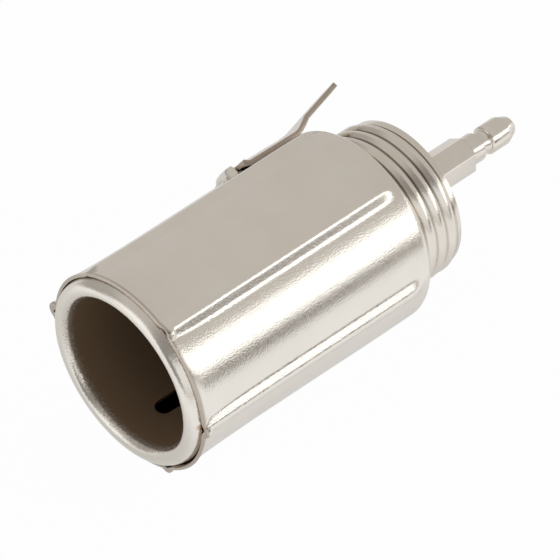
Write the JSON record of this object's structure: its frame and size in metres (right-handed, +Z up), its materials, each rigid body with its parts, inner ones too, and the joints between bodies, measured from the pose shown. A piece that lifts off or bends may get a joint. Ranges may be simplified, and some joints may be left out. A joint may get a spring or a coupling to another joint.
{
  "type": "car 12v power socket",
  "caption": "Round panel socket for a car's 12 V plug, with a rolled lip, a ribbed sleeve screwed on its rear thread, an earth blade and a bullet terminal.",
  "frame": {"origin": "on the bore's axis, in the plane of the lip's edge, where a panel is clamped", "axes": "-Y out of the mouth along the bore's axis, +Y to the terminal, +Z up as the socket lies on its sleeve"},
  "size_m": [0.0305, 0.0686, 0.0274],
  "materials": {
    "nickel_plate": "satin nickel plate on steel",
    "terminal_plate": "nickel plate on brass",
    "fibre": "dull pressed fibre"
  },
  "bodies": {
    "well": {"socket_well": "nickel_plate", "contact_stud": "nickel_plate", "inner_insulator": "fibre", "outer_insulator": "fibre", "bullet_terminal": "terminal_plate"},
    "washer": {"plain_washer": "nickel_plate"},
    "sleeve": {"clamp_sleeve": "nickel_plate", "earth_tab": "nickel_plate"}
  },
  "joints": [
    {"name": "sleeve_turn", "type": "hinge", "parent": "well", "child": "washer", "pos_m": [0, 0, 0], "axis": [0, 1, 0], "range_deg": [0, 1440]},
    {"name": "sleeve_advance", "type": "slide", "parent": "washer", "child": "sleeve", "axis": [0, 1, 0], "range_m": [0, 0.00721]}
  ],
  "couplings": [
    {"joint": "sleeve_advance", "follows": "sleeve_turn", "m_per_rad": 0.00028648}
  ]
}
